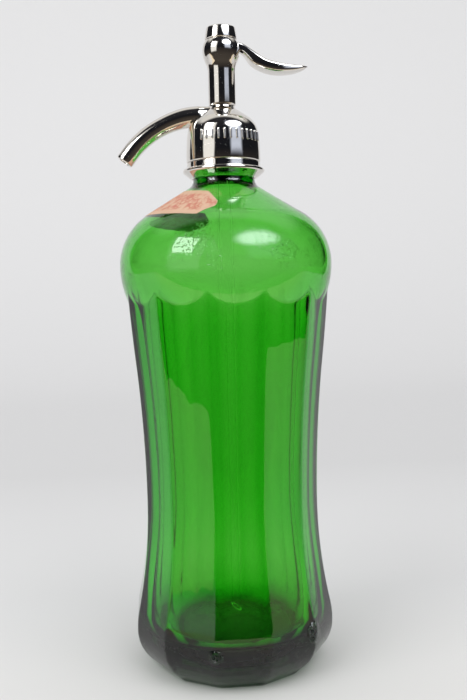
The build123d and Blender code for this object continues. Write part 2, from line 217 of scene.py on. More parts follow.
def rings_along(path, ahead, side, half_side, half_up, count, power=2.0):
    """Rings square to a path. Each is a superellipse: cosine and sine raised to 2 / power give
    an ellipse at 2 and nearly a box at 6, with its half sizes along side and square to it."""
    path, ahead = np.asarray(path, float), np.asarray(ahead, float)
    ahead = ahead / np.linalg.norm(ahead, axis=1)[:, None]
    side = np.broadcast_to(np.asarray(side, float), path.shape)
    up = np.cross(ahead, side)
    a = np.arange(count) * 2 * np.pi / count
    bend = 2 / np.broadcast_to(power, len(path))[:, None]
    across = np.sign(np.cos(a)) * np.abs(np.cos(a)) ** bend
    rise = np.sign(np.sin(a)) * np.abs(np.sin(a)) ** bend
    wide = (np.broadcast_to(half_side, len(path))[:, None] * across)[:, :, None]
    high = (np.broadcast_to(half_up, len(path))[:, None] * rise)[:, :, None]
    return path[:, None, :] + side[:, None, :] * wide + up[:, None, :] * high


def lathe_points(radius, height, angles):
    """Ring grid: each profile point turned about Z to every angle."""
    radius = np.asarray(radius, float)[:, None]
    height = np.asarray(height, float)[:, None]
    return np.stack([radius * np.sin(angles), -radius * np.cos(angles), height + 0 * angles], -1)


def paint_node(name, material):
    """Gives a carried-over CAD node its finish."""
    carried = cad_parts[name]
    carried.data.materials.clear()
    carried.data.materials.append(material)
    return carried


# ------------------------------------------------------------------ sizes and colours
class SiphonSizes(PropertyGroup):
    """Sizes a user would change."""

    waist_flat: FloatProperty(
        name="Waist", description="Half the size across two panels at the waist",
        default=0.0428, unit="LENGTH")
    foot_flat: FloatProperty(
        name="Foot", description="Half the size across two panels at the fullest part of the foot",
        default=0.0495, unit="LENGTH")
    upper_flat: FloatProperty(
        name="Upper panels", description="Half the size across two panels 155 mm up",
        default=0.0464, unit="LENGTH")
    shoulder: FloatProperty(
        name="Shoulder", description="Largest radius of the round shoulder",
        default=0.0530, unit="LENGTH")
    wall: FloatProperty(
        name="Wall", description="Thickness of the glass at the waist",
        default=0.006, unit="LENGTH")
    ornament_count: IntProperty(
        name="Beads on the bell", description="Upright raised beads round the bell",
        default=12, min=0)


class SiphonColours(PropertyGroup):
    """Colours a user would change, linear."""

    plating: FloatVectorProperty(
        name="Plating", description="Reflected colour of the plating", subtype="COLOR", size=4,
        min=0, max=1, default=(0.80, 0.765, 0.72, 1.0))
    paper: FloatVectorProperty(
        name="Label paper", description="Paper of the shoulder label", subtype="COLOR", size=4,
        min=0, max=1, default=linear("#CCAA90"))


# ------------------------------------------------------------------ materials
def green_bottle_glass():
    """Bottle glass coloured through with chromium oxide, pressed in a mould and fire polished."""
    made, tree, out = new_material("green bottle glass, pressed and fire polished")
    place = node(tree, "ShaderNodeTexCoord").outputs["Object"]
    # slow ripples from the mould: they bend the view through a panel a little
    stretched = node(tree, "ShaderNodeMapping", Vector=place, Scale=(1.0, 1.0, 0.35))
    ripple = node(tree, "ShaderNodeTexNoise", Vector=stretched.outputs[0], Scale=60.0, Detail=2.0,
                  Roughness=0.5)
    bump = node(tree, "ShaderNodeBump", Strength=0.10, Distance=0.0010, Height=ripple.outputs["Fac"])
    # wear: pits and scuffs, thick on the foot's edge, thinner round the shoulder's widest line
    height = node(tree, "ShaderNodeSeparateXYZ", Vector=place).outputs["Z"]
    foot = node(tree, "ShaderNodeMapRange", Value=height, From_Min=0.024, From_Max=0.010).outputs[0]
    low = node(tree, "ShaderNodeMapRange", Value=height, From_Min=0.185, From_Max=0.200).outputs[0]
    high = node(tree, "ShaderNodeMapRange", Value=height, From_Min=0.224, From_Max=0.210).outputs[0]
    band = node(tree, "ShaderNodeMath", {"operation": "MULTIPLY", 0: low, 1: high}).outputs[0]
    band = node(tree, "ShaderNodeMath", {"operation": "MULTIPLY", 0: band, 1: 0.55}).outputs[0]
    where = node(tree, "ShaderNodeMath", {"operation": "MAXIMUM", 0: foot, 1: band}).outputs[0]
    patches = node(tree, "ShaderNodeTexNoise", Vector=place, Scale=55.0, Detail=3.0, Roughness=0.6)
    grains = node(tree, "ShaderNodeTexNoise", Vector=place, Scale=900.0, Detail=2.0, Roughness=0.6)
    rubbed = node(tree, "ShaderNodeMapRange", Value=patches.outputs["Fac"],
                  From_Min=0.52, From_Max=0.66).outputs[0]
    rubbed = node(tree, "ShaderNodeMath", {"operation": "MULTIPLY", 0: rubbed, 1: where}).outputs[0]
    pits = node(tree, "ShaderNodeMapRange", Value=grains.outputs["Fac"],
                From_Min=0.56, From_Max=0.66).outputs[0]
    pits = node(tree, "ShaderNodeMath", {"operation": "MULTIPLY", 0: pits, 1: rubbed}).outputs[0]
    bump = node(tree, "ShaderNodeBump", Strength=0.7, Distance=0.0003, Height=pits,
                Normal=bump.outputs[0])
    # two chips on the foot's upright edges: coarse broken facets inside a small ball
    shards = node(tree, "ShaderNodeTexVoronoi", Vector=place, Scale=700.0).outputs["Distance"]
    facets = node(tree, "ShaderNodeMapRange", Value=shards, From_Min=0.2, From_Max=0.7).outputs[0]
    chips = 0.0
    for middle, size in (((-0.0132, -0.0492, 0.0205), 0.0036), ((0.0361, -0.0361, 0.0240), 0.0055)):
        away = node(tree, "ShaderNodeVectorMath", {"operation": "DISTANCE", 0: place, 1: middle})
        near = node(tree, "ShaderNodeMapRange", Value=away.outputs["Value"], From_Min=size,
                    From_Max=size * 0.45).outputs[0]
        chip = node(tree, "ShaderNodeMath", {"operation": "MULTIPLY", 0: facets, 1: near}).outputs[0]
        chips = node(tree, "ShaderNodeMath", {"operation": "MAXIMUM", 0: chips, 1: chip}).outputs[0]
    bump = node(tree, "ShaderNodeBump", Strength=1.0, Distance=0.0016, Height=chips,
                Normal=bump.outputs[0])
    # whole glass is glossy, pits and chips are duller
    worn = node(tree, "ShaderNodeMath", {"operation": "MAXIMUM", 0: pits, 1: chips}).outputs[0]
    dull = node(tree, "ShaderNodeMath", {"operation": "MULTIPLY_ADD", 0: worn, 1: 0.35, 2: 0.012})
    shader = node(
        tree, "ShaderNodeBsdfPrincipled", Base_Color=(1, 1, 1, 1), Roughness=dull.outputs[0],
        IOR=1.52, Transmission_Weight=1.0, Normal=bump.outputs[0])
    body = node(tree, "ShaderNodeVolumeAbsorption", Color=(0.30, 0.87, 0.10, 1.0), Density=385.0)
    tree.links.new(shader.outputs[0], out.inputs["Surface"])
    tree.links.new(body.outputs[0], out.inputs["Volume"])
    return made


def clear_tube_glass():
    """Drawn clear soda-lime tube, wet inside the bottle: it shows as faint upright lines only."""
    made, tree, out = new_material("clear soda-lime glass, drawn tube")
    place = node(tree, "ShaderNodeTexCoord").outputs["Object"]
    long = node(tree, "ShaderNodeMapping", Vector=place, Scale=(1.0, 1.0, 0.02))
    draw = node(tree, "ShaderNodeTexNoise", Vector=long.outputs[0], Scale=900.0, Detail=2.0)
    bump = node(tree, "ShaderNodeBump", Strength=0.05, Distance=0.0002, Height=draw.outputs["Fac"])
    shader = node(
        tree, "ShaderNodeBsdfPrincipled", Base_Color=(0.99, 1, 0.99, 1), Roughness=0.0, IOR=1.06,
        Transmission_Weight=1.0, Normal=bump.outputs[0])
    tree.links.new(shader.outputs[0], out.inputs["Surface"])
    return made


def bright_plating(colour):
    """Nickel under chrome on polished cast metal: soft waves left by the polishing wheel, a thin
    haze of handling, and tarnish as small dull freckles. It gives broad clean reflections whose
    edges waver a little."""
    name = "bright nickel and chrome plate, buffed"
    known = bpy.data.materials.get(name)
    if known:
        return known
    made, tree, out = new_material(name)
    place = node(tree, "ShaderNodeTexCoord").outputs["Object"]
    haze = node(tree, "ShaderNodeTexNoise", Vector=place, Scale=160.0, Detail=5.0, Roughness=0.6)
    freckle = node(tree, "ShaderNodeTexNoise", Vector=place, Scale=900.0, Detail=3.0, Roughness=0.7)
    spots = node(tree, "ShaderNodeMapRange", Value=freckle.outputs["Fac"],
                 From_Min=0.62, From_Max=0.72)
    dull = node(tree, "ShaderNodeMapRange", Value=haze.outputs["Fac"], From_Min=0.35, From_Max=0.75,
                To_Min=0.03, To_Max=0.12)
    rough = node(tree, "ShaderNodeMath", {"operation": "MULTIPLY_ADD", 0: spots.outputs[0], 1: 0.22,
                                          2: dull.outputs[0]})
    tint = node(tree, "ShaderNodeMixRGB", {0: spots.outputs[0], 1: tuple(colour),
                                           2: tuple(c * 0.72 for c in colour[:3]) + (1,)})
    wave = node(tree, "ShaderNodeTexNoise", Vector=place, Scale=95.0, Detail=1.0)
    bump = node(tree, "ShaderNodeBump", Strength=0.10, Distance=0.0003, Height=wave.outputs["Fac"])
    pit = node(tree, "ShaderNodeBump", Strength=0.15, Distance=0.00003, Height=spots.outputs[0],
               Normal=bump.outputs[0])
    shader = node(
        tree, "ShaderNodeBsdfPrincipled", Base_Color=tint.outputs[0], Metallic=1.0,
        Roughness=rough.outputs[0], Normal=pit.outputs[0])
    tree.links.new(shader.outputs[0], out.inputs["Surface"])
    return made


def worked_metal(name, colour, stain, low, high, marks):
    """Machined metal: fine rings from the tool, set by marks per metre, over a cloudy stain that
    also dulls it. It gives a satin look with darker cloudy patches of old metal."""
    made, tree, out = new_material(name)
    place = node(tree, "ShaderNodeTexCoord").outputs["Object"]
    cloud = node(tree, "ShaderNodeTexNoise", Vector=place, Scale=260.0, Detail=5.0, Roughness=0.65)
    share = node(tree, "ShaderNodeMapRange", Value=cloud.outputs["Fac"], From_Min=0.42, From_Max=0.68)
    tint = node(tree, "ShaderNodeMixRGB", {0: share.outputs[0], 1: linear(colour), 2: linear(stain)})
    rough = node(tree, "ShaderNodeMapRange", Value=cloud.outputs["Fac"], From_Min=0.3, From_Max=0.7,
                 To_Min=low, To_Max=high)
    rings = node(tree, "ShaderNodeTexWave", {"bands_direction": "Z"}, Vector=place, Scale=marks,
                 Distortion=0.6, Detail=1.0)
    bump = node(tree, "ShaderNodeBump", Strength=0.12, Distance=0.00003, Height=rings.outputs["Fac"])
    shader = node(tree, "ShaderNodeBsdfPrincipled", Base_Color=tint.outputs[0], Metallic=1.0,
                  Roughness=rough.outputs[0], Normal=bump.outputs[0])
    tree.links.new(shader.outputs[0], out.inputs["Surface"])
    return made


def soft_stock(name, colour, fleck, rough, grain):
    """Rubber or cork: flecks of a second colour and a fine uneven skin, so it looks matt and old."""
    made, tree, out = new_material(name)
    place = node(tree, "ShaderNodeTexCoord").outputs["Object"]
    cells = node(tree, "ShaderNodeTexVoronoi", Vector=place, Scale=grain)
    cloud = node(tree, "ShaderNodeTexNoise", Vector=place, Scale=grain * 0.6, Detail=5.0,
                 Roughness=0.7)
    share = node(tree, "ShaderNodeMapRange", Value=cloud.outputs["Fac"], From_Min=0.48, From_Max=0.66)
    tint = node(tree, "ShaderNodeMixRGB", {0: share.outputs[0], 1: linear(colour), 2: linear(fleck)})
    bump = node(tree, "ShaderNodeBump", Strength=0.3, Distance=0.00008,
                Height=cells.outputs["Distance"])
    worn = node(tree, "ShaderNodeMapRange", Value=cloud.outputs["Fac"], To_Min=rough - 0.1,
                To_Max=min(rough + 0.1, 1.0))
    shader = node(tree, "ShaderNodeBsdfPrincipled", Base_Color=tint.outputs[0],
                  Roughness=worn.outputs[0], Normal=bump.outputs[0])
    tree.links.new(shader.outputs[0], out.inputs["Surface"])
    return made


def label_paper(colour):
    """Uncoated label paper, printed in one worn red: blotches of ink in the middle of the sheet,
    plain margins, soiled patches and fibres. The print has no letters."""
    made, tree, out = new_material("uncoated label paper, printed in one colour and worn")
    flat = node(tree, "ShaderNodeUVMap", {"uv_map": "print"}).outputs[0]
    parts = node(tree, "ShaderNodeSeparateXYZ", Vector=flat)
    ink_cloud = node(tree, "ShaderNodeTexNoise", Vector=flat, Scale=420.0, Detail=4.0, Roughness=0.65)
    patch = node(tree, "ShaderNodeTexNoise", Vector=flat, Scale=110.0, Detail=2.0)
    cells = node(tree, "ShaderNodeTexVoronoi", {"feature": "DISTANCE_TO_EDGE"}, Vector=flat,
                 Scale=330.0)
    lines = node(tree, "ShaderNodeMapRange", Value=cells.outputs["Distance"],
                 From_Min=0.05, From_Max=0.16, To_Min=1.0, To_Max=0.0)
    blots = node(tree, "ShaderNodeMapRange", Value=ink_cloud.outputs["Fac"],
                 From_Min=0.50, From_Max=0.60)
    kept = node(tree, "ShaderNodeMapRange", Value=patch.outputs["Fac"], From_Min=0.38, From_Max=0.52)
    # ink stays off a margin along both long edges
    half_print = PRINT_WIDE * MM / 2
    offset = node(tree, "ShaderNodeMath", {"operation": "SUBTRACT", 0: parts.outputs["Y"],
                                           1: half_print})
    away = node(tree, "ShaderNodeMath", {"operation": "ABSOLUTE", 0: offset.outputs[0]})
    margin = node(tree, "ShaderNodeMapRange", Value=away.outputs[0],
                  From_Min=0.0058, From_Max=0.0075, To_Min=1.0, To_Max=0.0)
    ink = node(tree, "ShaderNodeMath", {"operation": "MAXIMUM", 0: lines.outputs[0],
                                        1: blots.outputs[0]})
    # the patches that kept their ink, the margin, and how strongly the worn ink covers
    for share in (kept.outputs[0], margin.outputs[0], 0.62):
        ink = node(tree, "ShaderNodeMath", {"operation": "MULTIPLY", 0: ink.outputs[0], 1: share})
    soil = node(tree, "ShaderNodeTexNoise", Vector=flat, Scale=60.0, Detail=5.0, Roughness=0.6)
    dirty = node(tree, "ShaderNodeMapRange", Value=soil.outputs["Fac"], From_Min=0.5, From_Max=0.8,
                 To_Max=0.6)
    paper = node(tree, "ShaderNodeMixRGB", {0: dirty.outputs[0], 1: tuple(colour),
                                            2: linear("#B88560")})
    tint = node(tree, "ShaderNodeMixRGB", {0: ink.outputs[0], 1: paper.outputs[0],
                                           2: linear("#B5433A")})
    fibre = node(tree, "ShaderNodeTexNoise", Vector=flat, Scale=2600.0, Detail=4.0, Roughness=0.7)
    bump = node(tree, "ShaderNodeBump", Strength=0.35, Distance=0.00005, Height=fibre.outputs["Fac"])
    shader = node(tree, "ShaderNodeBsdfPrincipled", Base_Color=tint.outputs[0], Roughness=0.82,
                  Normal=bump.outputs[0])
    tree.links.new(shader.outputs[0], out.inputs["Surface"])
    return made


# ------------------------------------------------------------------ the glass body
def panel_angles():
    """Directions round the bottle, closer together at the panel corners."""
    half = np.array([0, 3, 6, 9, 11.5, 12.9, 13.7, 14.2, 14.6, 14.85])
    across = np.concatenate([-half[:0:-1], half, [PANEL_DEGREES / 2]])
    turns = np.arange(PANELS) * PANEL_DEGREES
    return np.radians((turns[:, None] + across[None, :]).ravel())


def arc(x0, z0, x1, z1, centre_x, centre_z, count):
    """Points on a circle about a centre, from one point to another by the shorter way, both ends
    included. If the ends aren't equally far from the centre, the radius slides between them."""
    a0 = np.arctan2(z0 - centre_z, x0 - centre_x)
    a1 = np.arctan2(z1 - centre_z, x1 - centre_x)
    a1 += 2 * np.pi * np.round((a0 - a1) / (2 * np.pi))
    a = np.linspace(a0, a1, count)
    r = np.linspace(np.hypot(x0 - centre_x, z0 - centre_z),
                    np.hypot(x1 - centre_x, z1 - centre_z), count)
    return centre_x + r * np.cos(a), centre_z + r * np.sin(a)


def panel_profile(z, sizes):
    """Half the size across two panels at each height: a straight bevel, then circle arcs that
    swell to the foot, draw in to the waist, open above it and straighten under the shoulder."""
    foot, waist = sizes.foot_flat / MM, sizes.waist_flat / MM
    foot_z, waist_z, turn_z = 21.0, 85.0, 155.0
    bevel_x, bevel_z, rest_x = 40.1, 3.0, 37.5
    low_r = ((foot - bevel_x) ** 2 + (foot_z - bevel_z) ** 2) / (2 * (foot - bevel_x))
    # the foot's arc and the waist's run on into each other, so their radii add up to this
    both_r = ((foot - waist) ** 2 + (waist_z - foot_z) ** 2) / (2 * (foot - waist))
    foot_r = 50.0
    low_turn_z = foot_z + foot_r / both_r * (waist_z - foot_z)
    spread = sizes.upper_flat / MM - waist
    high_r = ((turn_z - waist_z) ** 2 + spread ** 2) / (2 * spread)

    def bulge(radius, offset):
        return radius - np.sqrt(np.clip(radius ** 2 - offset ** 2, 0, None))

    bevel = rest_x + (bevel_x - rest_x) * z / bevel_z
    low = foot - bulge(low_r, foot_z - z)
    above_foot = foot - bulge(foot_r, z - foot_z)
    to_waist = waist + bulge(both_r - foot_r, waist_z - z)
    above = waist + bulge(high_r, z - waist_z)
    lean = (turn_z - waist_z) / high_r
    top_r = 1000.0
    straight = (waist + spread + bulge(top_r, lean * top_r)
                - bulge(top_r, lean * top_r - (z - turn_z)))
    return np.select([z < bevel_z, z < foot_z, z < low_turn_z, z < waist_z, z < turn_z],
                     [bevel, low, above_foot, to_waist, above], straight)


def smooth_through(places, values, wanted):
    """Curve through points: cubic pieces whose slope at a point comes from its two neighbours,
    and that are level at both ends."""
    places, values = np.asarray(places, float), np.asarray(values, float)
    slope = np.gradient(values, places)
    slope[0] = slope[-1] = 0
    return hermite(places, values, slope, wanted)


def shoulder_radius(z, widest):
    """Radius of the turned shoulder below the cone: two arcs that meet at its widest line. Each is
    its centre's distance from the axis plus a circle's half width at that height."""
    lower = widest - LOWER_ARC + np.sqrt(np.clip(LOWER_ARC ** 2 - (z - WIDEST_Z) ** 2, 0, None))
    higher = widest - DOME_ARC + np.sqrt(np.clip(DOME_ARC ** 2 - (z - WIDEST_Z) ** 2, 0, None))
    return np.where(z < WIDEST_Z, lower, higher)


def cone_foot(centre_r, arc_r):
    """Where the dome's arc runs straight on into the cone: its distance from the axis and height,
    at the angle where a circle's edge has the cone's slope."""
    return centre_r + arc_r * np.sin(CONE_SLOPE), WIDEST_Z + arc_r * np.cos(CONE_SLOPE)


def glass_outside(sizes):
    """Outside of the bottle as a grid. Radius = the larger of the panel prism and the turned
    shoulder, with the valley between them and the panel corners rounded."""
    angles = panel_angles()
    turned = (angles + PANEL_TURN / 2) % PANEL_TURN - PANEL_TURN / 2
    corner_r = 4.0
    widest = sizes.shoulder / MM
    low_end, high_end = 176.0, 200.0

    def prism(z):
        flat = panel_profile(z, sizes)
        along = np.abs(flat * np.tan(turned))
        edge = flat * np.tan(PANEL_TURN / 2) - along
        reach = corner_r * np.tan(PANEL_TURN / 2)
        drop = np.clip(reach - edge, 0, None) ** 2 / (2 * corner_r)
        return (flat - drop) / np.cos(turned)

    # height of the scallop edge in each direction, where the prism and the shoulder meet, found
    # by halving the stretch it must lie in
    low = np.full(angles.shape, low_end)
    high = np.full(angles.shape, high_end)
    for _ in range(40):
        middle = (low + high) / 2
        inside = shoulder_radius(middle, widest) > prism(middle)
        high = np.where(inside, middle, high)
        low = np.where(inside, low, middle)
    scallop = (low + high) / 2

    # rows as shares of the way up to the scallop edge, written for one 180 mm up: close together at
    # the foot's bevel and below the scallops
    rows_for = 180.0
    share = np.concatenate([
        np.array([0, 0.25, 0.5, 0.75, 0.92, 1.0, 1.08, 1.25, 1.6]) * 4.7 / rows_for,
        np.linspace(9.5, 30.0, 16) / rows_for,
        np.linspace(33.0, 80.0, 22) / rows_for,
        np.linspace(84.0, 166.0, 26) / rows_for,
        1 - np.array([11, 8.5, 6.5, 5.0, 3.8, 2.8, 2.0, 1.4, 0.9, 0.5, 0.2, 0.0]) / rows_for,
    ])
    below = scallop[None, :] * share[:, None]
    # keep the lower rows level: only the top stretch follows the scallops
    level_top = 185.0
    level = share[:, None] * level_top
    mix = np.clip((share[:, None] - 0.55) / 0.40, 0, 1)
    mix = mix * mix * (3 - 2 * mix)
    below = level + (below - level) * mix
    step = np.array([0.2, 0.5, 0.9, 1.4, 2.0, 2.8, 3.8, 5.2, 7.0, 9.0, 11.5, 14.0, 16.5])
    above = scallop[None, :] + step[:, None] * (WIDEST_Z - scallop[None, :]) / step[-1]
    z = np.concatenate([below, above], 0)
    # the valley: where the two surfaces are nearly level, a small parabola fills it
    soft, shoulder_start = 0.35, 160.0
    panel, turned_r = prism(z), shoulder_radius(z, widest)
    gap = np.clip(soft - np.abs(panel - turned_r), 0, None)
    radius = np.maximum(panel, turned_r) + gap ** 2 / (4 * soft)
    radius = np.where(z < shoulder_start, panel, radius)
    # the round part above the widest line: the dome's arc, the straight cone, a fillet, the neck
    low_x, low_z = cone_foot(widest - DOME_ARC, DOME_ARC)
    arc_x, arc_z = arc(widest, WIDEST_Z, low_x, low_z, widest - DOME_ARC, WIDEST_Z, 30)
    meet = low_z + (low_x - NECK_R) * np.tan(CONE_SLOPE)
    fillet_r = 5.0
    reach = fillet_r * np.tan((np.pi / 2 - CONE_SLOPE) / 2)
    cone_x, cone_z = NECK_R + reach * np.cos(CONE_SLOPE), meet - reach * np.sin(CONE_SLOPE)
    line = np.linspace(0, 1, 12)[1:-1]
    straight_x, straight_z = low_x + (cone_x - low_x) * line, low_z + (cone_z - low_z) * line
    fillet_x, fillet_z = arc(cone_x, cone_z, NECK_R, meet + reach,
                             NECK_R + fillet_r, meet + reach, 9)
    # the groove that the collar grips, the bead above it and the mouth's rim
    neck_x, neck_z = np.transpose([
        (NECK_R, 245.0), (13.1, 246.5), (13.0, 246.8), (13.0, 254.2), (13.2, 254.8), (14.5, 256.4),
        (15.1, 257.3), (NECK_R, 258.4), (NECK_R, 262.4), (14.9, 263.5), (13.9, 263.95),
        (12.0, 264.0), (10.0, 264.0), (9.3, 263.9)])
    top_x = np.concatenate([arc_x[1:], straight_x, fillet_x, neck_x])
    top_z = np.concatenate([arc_z[1:], straight_z, fillet_z, neck_z])
    z = np.concatenate([z, np.repeat(top_z[:, None], angles.size, 1)], 0)
    radius = np.concatenate([radius, np.repeat(top_x[:, None], angles.size, 1)], 0)
    return angles, radius, z


def glass_inside(sizes):
    """Inside of the bottle as a profile from the mouth down to the floor."""
    wall, widest = sizes.wall / MM, sizes.shoulder / MM
    centre_x, inner = widest - DOME_ARC, DOME_ARC - SHOULDER_WALL
    low_x, low_z = cone_foot(centre_x, inner)
    mouth_z = low_z + (low_x - MOUTH_R) * np.tan(CONE_SLOPE)
    fillet_r = 9.0
    reach = fillet_r * np.tan((np.pi / 2 - CONE_SLOPE) / 2)
    fillet_x, fillet_z = arc(
        MOUTH_R, mouth_z + reach, MOUTH_R + reach * np.cos(CONE_SLOPE),
        mouth_z - reach * np.sin(CONE_SLOPE), MOUTH_R + fillet_r, mouth_z + reach, 10)
    line = np.linspace(0, 1, 10)[1:-1]
    cone_x = fillet_x[-1] + (low_x - fillet_x[-1]) * line
    cone_z = fillet_z[-1] + (low_z - fillet_z[-1]) * line
    arc_x, arc_z = arc(low_x, low_z, centre_x + inner, WIDEST_Z, centre_x, WIDEST_Z, 20)
    foot_r, floor_z, corner = sizes.foot_flat / MM - wall - 1.0, 18.0, 10.0
    waist, upper = sizes.waist_flat / MM - wall, sizes.upper_flat / MM - wall
    # from the shoulder down through the waist to the floor corner
    side_z = np.linspace(WIDEST_Z, floor_z + corner, 70)[1:]
    side_x = smooth_through(
        [floor_z + corner, 85.0, 120.0, 155.0, 175.0, WIDEST_Z],
        [foot_r, waist, waist + 0.9, upper, 42.8, widest - SHOULDER_WALL], side_z)
    corner_x, corner_z = arc(foot_r, floor_z + corner, foot_r - corner, floor_z, foot_r - corner,
                             floor_z + corner, 12)
    floor_x = np.linspace(foot_r - corner, 0, 8)[1:-1]
    x = np.concatenate([[MOUTH_R], fillet_x, cone_x, arc_x, side_x, corner_x[1:], floor_x])
    z = np.concatenate(
        [[263.4], fillet_z, cone_z, arc_z, side_z, corner_z[1:], np.full(floor_x.size, floor_z)])
    return x, z


class SIPHON_OT_glass(Operator):
    """The bottle: one closed wall of glass, twelve panels outside and round inside"""

    bl_idname = "siphon.glass"
    bl_label = "Glass bottle"

    def execute(self, context):
        sizes = context.scene.siphon_sizes
        angles, radius, z = glass_outside(sizes)
        outside = np.stack([radius * np.sin(angles), -radius * np.cos(angles), z], -1)
        inside = lathe_points(*glass_inside(sizes), angles)
        # the hollow under the base: part of a sphere, from its middle out to the resting ring
        hollow_r, hollow_deep = 30.0, 2.4
        sphere = (hollow_r ** 2 + hollow_deep ** 2) / (2 * hollow_deep)
        under_r = np.array([7.0, 14.0, 20.0, 25.0, 29.0, 30.5, 33.0, 36.0])
        cup = hollow_deep - sphere + np.sqrt(sphere ** 2 - np.minimum(under_r, hollow_r) ** 2)
        under = lathe_points(under_r, np.where(under_r < hollow_r, cup, 0), angles)
        points, faces = tube_of(np.concatenate([under, outside, inside], 0))
        made = place_mesh("bottle_glass", points, faces, "bottle", green_bottle_glass())
        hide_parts("glass_bottle")
        return {"FINISHED"}


# ------------------------------------------------------------------ the plated head
def even_angles(count):
    """Directions evenly spaced round the axis."""
    return np.arange(count) * 2 * np.pi / count


def bell_bead(angle):
    """One upright bead on the bell: a rod that leans in with the bell. Its radius follows a circle
    over the last stretch at each end, as long as the rod is thick, so its ends are round."""
    share = np.linspace(-1, 1, 19)
    share = np.sign(share) * (1 - (1 - np.abs(share)) ** 2)
    half_length, radius, least_r = 2.6, 0.55, 0.02
    over = np.clip(np.abs(share) * half_length - (half_length - radius), 0, None)
    size = np.sqrt(np.clip(radius ** 2 - over ** 2, least_r ** 2, None))
    lean = np.radians(3)
    bell_r, middle_z = 18.02, 264.6
    out = np.array([np.sin(angle), -np.cos(angle), 0.0])
    ahead = np.array([0, 0, np.cos(lean)]) - out * np.sin(lean)
    path = out * bell_r + np.array([0, 0, middle_z]) + share[:, None] * half_length * ahead
    side = np.cross(ahead, out)
    return tube_of(rings_along(path, np.tile(ahead, (share.size, 1)), side, size, size, 12))


class SIPHON_OT_head(Operator):
    """Head casting: bell, column and bulb in one turned wall, the lever's slot cut through it"""

    bl_idname = "siphon.head"
    bl_label = "Head casting"

    def execute(self, context):
        bulb_low, bulb_high, column_r, bore_r = 297.6, 312.6, 6.8, 4.5
        bell = curve_through(
            [(18.5, 256.0), (18.3, 260.5), (18.0, 265.0), (16.7, 270.8), (14.6, 273.6), (12.0, 275.6),
             (9.4, 277.4), (6.3, 279.9)], 44, (0, 1), (-0.6, 1))
        neck_x, neck_z = arc(6.0, 280.5, column_r, 281.7, 5.57, 281.66, 6)
        bulb = curve_through(
            [(column_r, bulb_low), (7.1, 299.8), (8.1, 302.3), (9.0, 304.9), (9.3, 307.6),
             (8.75, 310.5), (7.6, bulb_high)], 60, (0, 1), (-0.9, 1))
        slot_low, slot_high, slot_half, slot_cells = 304.6, 312.3, 3.3, 16
        slot_z = np.linspace(slot_low, slot_high, slot_cells + 1)
        under_slot = np.linspace(bulb_low, slot_low, 15)[:-1]
        bulb_z = np.concatenate([under_slot, slot_z, [bulb_high]])
        bulb_r = np.interp(bulb_z, bulb[:, 1], bulb[:, 0])
        outer = np.concatenate([
            [(16.2, 252.7), (18.1, 252.7), (18.5, 253.2)], bell,
            np.stack([neck_x, neck_z], -1), [(column_r, 286.0), (column_r, 292.0)],
            np.stack([bulb_r, bulb_z], -1), [(5.9, bulb_high), (5.9, 316.3), (bore_r, 316.3)]])
        bore = np.concatenate([
            [(bore_r, 314.0)], np.stack([np.full(slot_z.size, bore_r), slot_z[::-1]], -1),
            [(bore_r, 301.0), (3.9, 301.0), (3.9, 290.0), (3.9, 279.6), (6.0, 277.6), (6.0, 270.0),
             (7.5, 270.0), (7.5, 266.4), (16.2, 266.4)]])
        profile = rounded(np.concatenate([outer, bore]), 0.22)
        radius, height = profile[:, 0], profile[:, 1]
        # columns slide sideways near the slot, so that the two at side_column degrees run along
        # its sides; those past moved_column degrees stay
        side_column, moved_column, slot_from = 21.0, 60.0, 300.0
        base = np.degrees(even_angles(120))
        turned = (base - 90 + 180) % 360 - 180
        slot_edge = np.degrees(np.arcsin(np.clip(slot_half / radius, 0, 0.8)))
        edge = np.where(height > slot_from, slot_edge, side_column)[:, None]
        apart = np.abs(turned)[None, :]
        near = apart * edge / side_column
        past = edge + (apart - side_column) * (moved_column - edge) / (moved_column - side_column)
        moved = np.where(apart <= side_column, near, np.where(apart <= moved_column, past, apart))
        angle = np.radians(np.sign(turned) * moved + 90)
        points = lathe_points(radius, height, angle)
        rows, columns = points.shape[:2]

        # leave out the slot's cells in both walls and join the two openings
        slot_r = bulb_r[under_slot.size]
        outside_low = int(np.argmin(np.abs(height - slot_low) + np.abs(radius - slot_r)))
        inside_low = int(np.argmin(np.abs(height - slot_low) + np.abs(radius - bore_r)))
        first = int(np.argmin(np.abs(turned + side_column)))
        last = int(np.argmin(np.abs(turned - side_column)))
        quads = np.array(grid_faces(rows, columns, loop=True)).reshape(rows, columns, 4)
        keep = np.ones((rows, columns), bool)
        keep[outside_low:outside_low + slot_cells, first:last] = False
        keep[inside_low - slot_cells:inside_low, first:last] = False
        faces = quads[keep].tolist()

        def outside(row, column):
            return (outside_low + row) * columns + column

        def inside(row, column):
            return (inside_low - row) * columns + column

        top = slot_cells
        for k in range(first, last):
            faces.append([outside(0, k), outside(0, k + 1), inside(0, k + 1), inside(0, k)])
            faces.append([outside(top, k), inside(top, k), inside(top, k + 1), outside(top, k + 1)])
        for i in range(top):
            faces.append([outside(i, first), inside(i, first),
                          inside(i + 1, first), outside(i + 1, first)])
            faces.append([outside(i, last), outside(i + 1, last),
                          inside(i + 1, last), inside(i, last)])
        # the row of beads is centred a little to the right of the front, in degrees
        row_middle, bead_step = 12.0, 9.5
        count = context.scene.siphon_sizes.ornament_count
        places = row_middle + (np.arange(count) - (count - 1) / 2) * bead_step
        beads = [bell_bead(angle) for angle in np.radians(places)]
        points, faces = joined((points, faces), *beads)
        made = place_mesh("head_plated", points, faces, "bottle",
                          bright_plating(context.scene.siphon_colours.plating), crease=40)
        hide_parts("head_casting")
        return {"FINISHED"}


